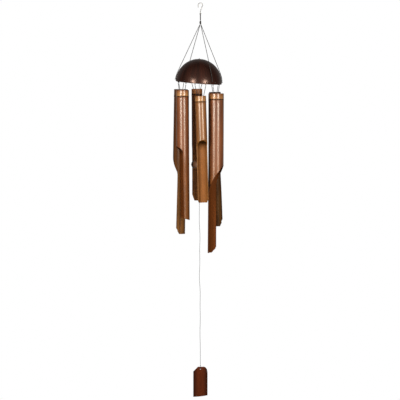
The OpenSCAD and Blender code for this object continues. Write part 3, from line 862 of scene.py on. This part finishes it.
def make_clapper():
    """Turned disc with a rounded edge, two shallow grooves and its cord with a stopper knot."""
    low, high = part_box("clapper")
    middle = (low + high) / 2
    r = (high.x - low.x) / 2
    half = (high.z - low.z) / 2
    flat = r - 7 * MM
    bore = 0.9 * MM
    dish = 0.5 * MM
    groove_depth = 0.5 * MM
    groove_wide = 3.5
    profile = [(bore, -half)]
    for a in steps(-90, 90, 49):
        groove = sum(groove_depth * math.exp(-((a - at) / groove_wide) ** 2) for at in (-22, 22))
        c, s = math.cos(math.radians(a)), math.sin(math.radians(a))
        profile.append((flat + (r - flat - groove) * c, half * s))
    profile += [(flat * 0.8, half - 0.2 * dish), (flat * 0.6, half - dish),
                (bore, half - dish), (bore, -half)]
    show(lathe("disc", profile, middle), "clapper")

    low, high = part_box("clapper_cord")
    x = pivot("clapper_swing_side").x
    show(rope("cord", [(x, 0, high.z), (x, 0, low.z)]), "clapper_cord")
    for node, strand in (("clapper_link", CORD_D), ("clapper_knot", CORD_D), ("sail_link", LINE_D)):
        low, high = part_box(node)
        size = high.z - low.z
        centre = (low + high) / 2
        inner = knot("knot", centre, size * 0.8, strand, axis=(1, 0.4, 0))
        show(join([knot("knot", centre, size, strand), inner]), node)


def make_line():
    """Pale line with a slight curl, a knot above the sail and a loop through its hole."""
    low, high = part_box("sail_line")
    start = pivot("sail_swing_side")
    end = pivot("sail_turn")
    points = []
    for t in steps(0, 1, 80):
        p = start.lerp(end, t)
        calm = math.sin(math.pi * t)
        p.x += calm * (0.7 * math.sin(19 * t + 1) + 0.5 * math.sin(43 * t)) * MM
        p.y += calm * 0.7 * math.sin(23 * t) * MM
        p.z = high.z + (low.z - high.z) * t
        points.append(p)
    show(rope("line", points, 1.2 * LINE_D), "sail_line")

    low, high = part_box("sail_tie")
    knot_at = Vector((end.x, 0, high.z - LINK_D / 2))
    top_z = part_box("sail")[1].z
    hole_z = top_z - SAIL_HOLE_DROP
    front = SAIL_T / 2 + LINE_D / 2 + 0.3 * MM
    loop = [knot_at]
    loop += [Vector((end.x, -front, top_z)), Vector((end.x, -front, hole_z))]
    loop += [Vector((end.x, front, hole_z)), Vector((end.x, front, top_z)), knot_at]
    parts = [rope("loop", rounded(loop, 1 * MM), LINE_D), knot("knot", knot_at, LINK_D, LINE_D)]
    show(join(parts), "sail_tie")


def make_sail():
    """Plate split from bamboo: bevelled left shoulder, rounded right shoulder and a slanting foot."""
    low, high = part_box("sail")
    middle_x = (low.x + high.x) / 2
    half = (high.x - low.x) / 2
    tall = high.z - low.z
    round_wide, round_high = 0.56 * half, 0.88 * half
    bevel_wide, bevel_high = 12 * MM, 13 * MM
    foot_slant = 4 * MM
    chamfer_d = 0.5 * MM
    ripple = 0.25 * MM
    columns, rows = 41, 61
    verts, grain = [], []
    for side in (0, 1):
        for k in steps(0, 1, rows):
            for j in steps(-1, 1, columns):
                x = j * half
                top = 0.0
                if x < bevel_wide - half:
                    top = -bevel_high * (1 - (x + half) / bevel_wide)
                into = (x - half + round_wide) / round_wide
                if into > 0:
                    top = -round_high * (1 - math.sqrt(max(0, 1 - into ** 2)))
                foot = -tall + foot_slant * (x + half) / (2 * half)
                edge = min(k, 1 - k, (1 - abs(j)) * 0.5)
                chamfer = chamfer_d * max(0, 1 - edge / 0.012)
                z = top + (foot - top) * k
                z += chamfer * (1 if k > 0.5 else -1) * (1 if min(k, 1 - k) < 0.02 else 0)
                r = SAIL_BEND - (SAIL_T if side else 0) + chamfer * (1 if side else -1)
                y = SAIL_BEND - SAIL_T / 2 - math.sqrt(r * r - x * x)
                y += ripple * math.sin(z * 90) * (1 - abs(j))
                verts.append((middle_x + x, y, high.z + z))
                grain.append((x, y, z))
    size = columns * rows
    faces = grid_faces(rows, columns) + grid_faces(rows, columns, size)
    border = list(range(columns)) + [i * columns + columns - 1 for i in range(1, rows)]
    border += [size - 1 - j for j in range(1, columns)] + [i * columns for i in range(rows - 2, 0, -1)]
    for a, b in zip(border, border[1:] + border[:1]):
        faces.append((a, b, b + size, a + size))
    sail = mesh_object("sail", verts, faces, smooth_below=35, points={"grain": grain})
    bpy.ops.mesh.primitive_cylinder_add(radius=1.2 * MM, depth=12 * MM, rotation=(math.pi / 2, 0, 0),
                                        location=(middle_x, 0, high.z - SAIL_HOLE_DROP), vertices=32)
    drill = bpy.context.object
    cut = sail.modifiers.new("hole", "BOOLEAN")
    cut.object = drill
    cut.solver = "EXACT"
    bpy.context.view_layer.objects.active = sail
    bpy.ops.object.modifier_apply(modifier="hole")
    bpy.data.objects.remove(drill)
    show(sail, "sail")


make_hook()
make_hanger()
for side, azimuth in HANGER_AZIMUTHS.items():
    make_hanger_cord(side, azimuth)
make_shell()
make_ties()
make_apex_tie()
for tube in TUBES:
    make_tube(tube)
make_clapper()
make_line()
make_sail()


# ---------------------------------------------------------------- camera, floor and light

scene = bpy.context.scene
scene.view_settings.view_transform = "Standard"

camera_data = bpy.data.cameras.new("camera")
camera_data.sensor_width = 36
camera_data.lens = 212.3
camera = bpy.data.objects.new("camera", camera_data)
camera.location = (-0.001, -6, -0.2)
look_down = 2.86
camera.rotation_euler = (math.radians(90 - look_down), 0, 0)
scene.collection.objects.link(camera)
scene.camera = camera


def make_floor():
    """A pale disc below the chime that fades out at its edge."""
    drop = 1.3
    radius = 1.8
    s = Shader("floor")
    place = s.node("ShaderNodeTexCoord", {}, "Object")
    grit = s.node("ShaderNodeTexNoise", {"Vector": place, "Scale": 40.0, "Detail": 5.0})
    far = s.node("ShaderNodeVectorMath", {0: place}, "Value", operation="LENGTH")
    seen = s.node("ShaderNodeLightPath", {}, "Is Camera Ray")
    s.set(Base_Color=s.ramp(grit, [(0.3, 0.8), (0.7, 0.84)]), Roughness=0.8,
          Emission_Color=(1, 1, 1, 1), Emission_Strength=s.calc("MULTIPLY", seen, 0.45),
          Alpha=s.span(far, radius / 2, radius, 1.0, 0.0))
    s.bump(grit, 0.05, 0.001)
    bpy.ops.mesh.primitive_circle_add(vertices=96, radius=radius, fill_type="NGON", location=(0, 0, -drop))
    floor = bpy.context.object
    floor.name = "floor"
    floor.data.materials.append(s.material)


def make_world():
    """White to the camera. Everything else sees a dim room, brightest in front and dark at the sides,
    which keeps the tubes' edges dark."""
    world = bpy.data.worlds.new("world")
    world.use_nodes = True
    scene.world = world
    tree = world.node_tree
    tree.nodes.clear()
    way = tree.nodes.new("ShaderNodeTexCoord").outputs["Generated"]
    split = tree.nodes.new("ShaderNodeSeparateXYZ")
    tree.links.new(way, split.inputs[0])
    to_back = tree.nodes.new("ShaderNodeMapRange")
    to_back.inputs["From Min"].default_value = -1
    tree.links.new(split.outputs["Y"], to_back.inputs["Value"])
    room = tree.nodes.new("ShaderNodeValToRGB")
    tree.links.new(to_back.outputs[0], room.inputs["Fac"])
    levels = room.color_ramp.elements
    levels.new(0.35)
    levels.new(0.55)
    for level, (place, light) in zip(levels, [(0, 0.5), (0.35, 0.22), (0.55, 0.08), (1, 0.3)]):
        level.position = place
        level.color = (light, 0.96 * light, 0.92 * light, 1)
    path = tree.nodes.new("ShaderNodeLightPath")
    seen = tree.nodes.new("ShaderNodeBackground")
    seen.inputs["Color"].default_value = (1, 1, 1, 1)
    other = tree.nodes.new("ShaderNodeBackground")
    tree.links.new(room.outputs["Color"], other.inputs["Color"])
    mix = tree.nodes.new("ShaderNodeMixShader")
    out = tree.nodes.new("ShaderNodeOutputWorld")
    tree.links.new(path.outputs["Is Camera Ray"], mix.inputs["Fac"])
    tree.links.new(other.outputs[0], mix.inputs[1])
    tree.links.new(seen.outputs[0], mix.inputs[2])
    tree.links.new(mix.outputs[0], out.inputs["Surface"])


def add_strip(name, place, aim_at, wide, tall, watts, colour=(1, 0.88, 0.7)):
    """A tall soft light that the camera doesn't see."""
    data = bpy.data.lights.new(name, "AREA")
    data.shape = "RECTANGLE"
    data.size = wide
    data.size_y = tall
    data.energy = watts
    data.color = colour
    light = bpy.data.objects.new(name, data)
    light.location = place
    light.rotation_euler = (Vector(aim_at) - Vector(place)).to_track_quat("-Z", "Y").to_euler()
    light.visible_camera = False
    scene.collection.objects.link(light)


make_floor()
make_world()
add_strip("strip_left", (-0.3, -0.565, -0.49), (0, 0, -0.49), 0.1, 0.9, 3.5)
add_strip("strip_right", (0.485, -0.75, -0.49), (0, 0, -0.49), 0.125, 0.9, 4.6)
add_strip("band_left", (-0.29, -0.55, -0.19), (0, 0, -0.19), 0.125, 0.2, 1.8, (1, 0.96, 0.9))
add_strip("band_right", (0.47, -0.73, -0.19), (0, 0, -0.19), 0.15, 0.2, 2.5, (1, 0.96, 0.9))
add_strip("back", (0.3, 0.8, -0.85), (0, 0, -0.5), 0.4, 0.35, 3)
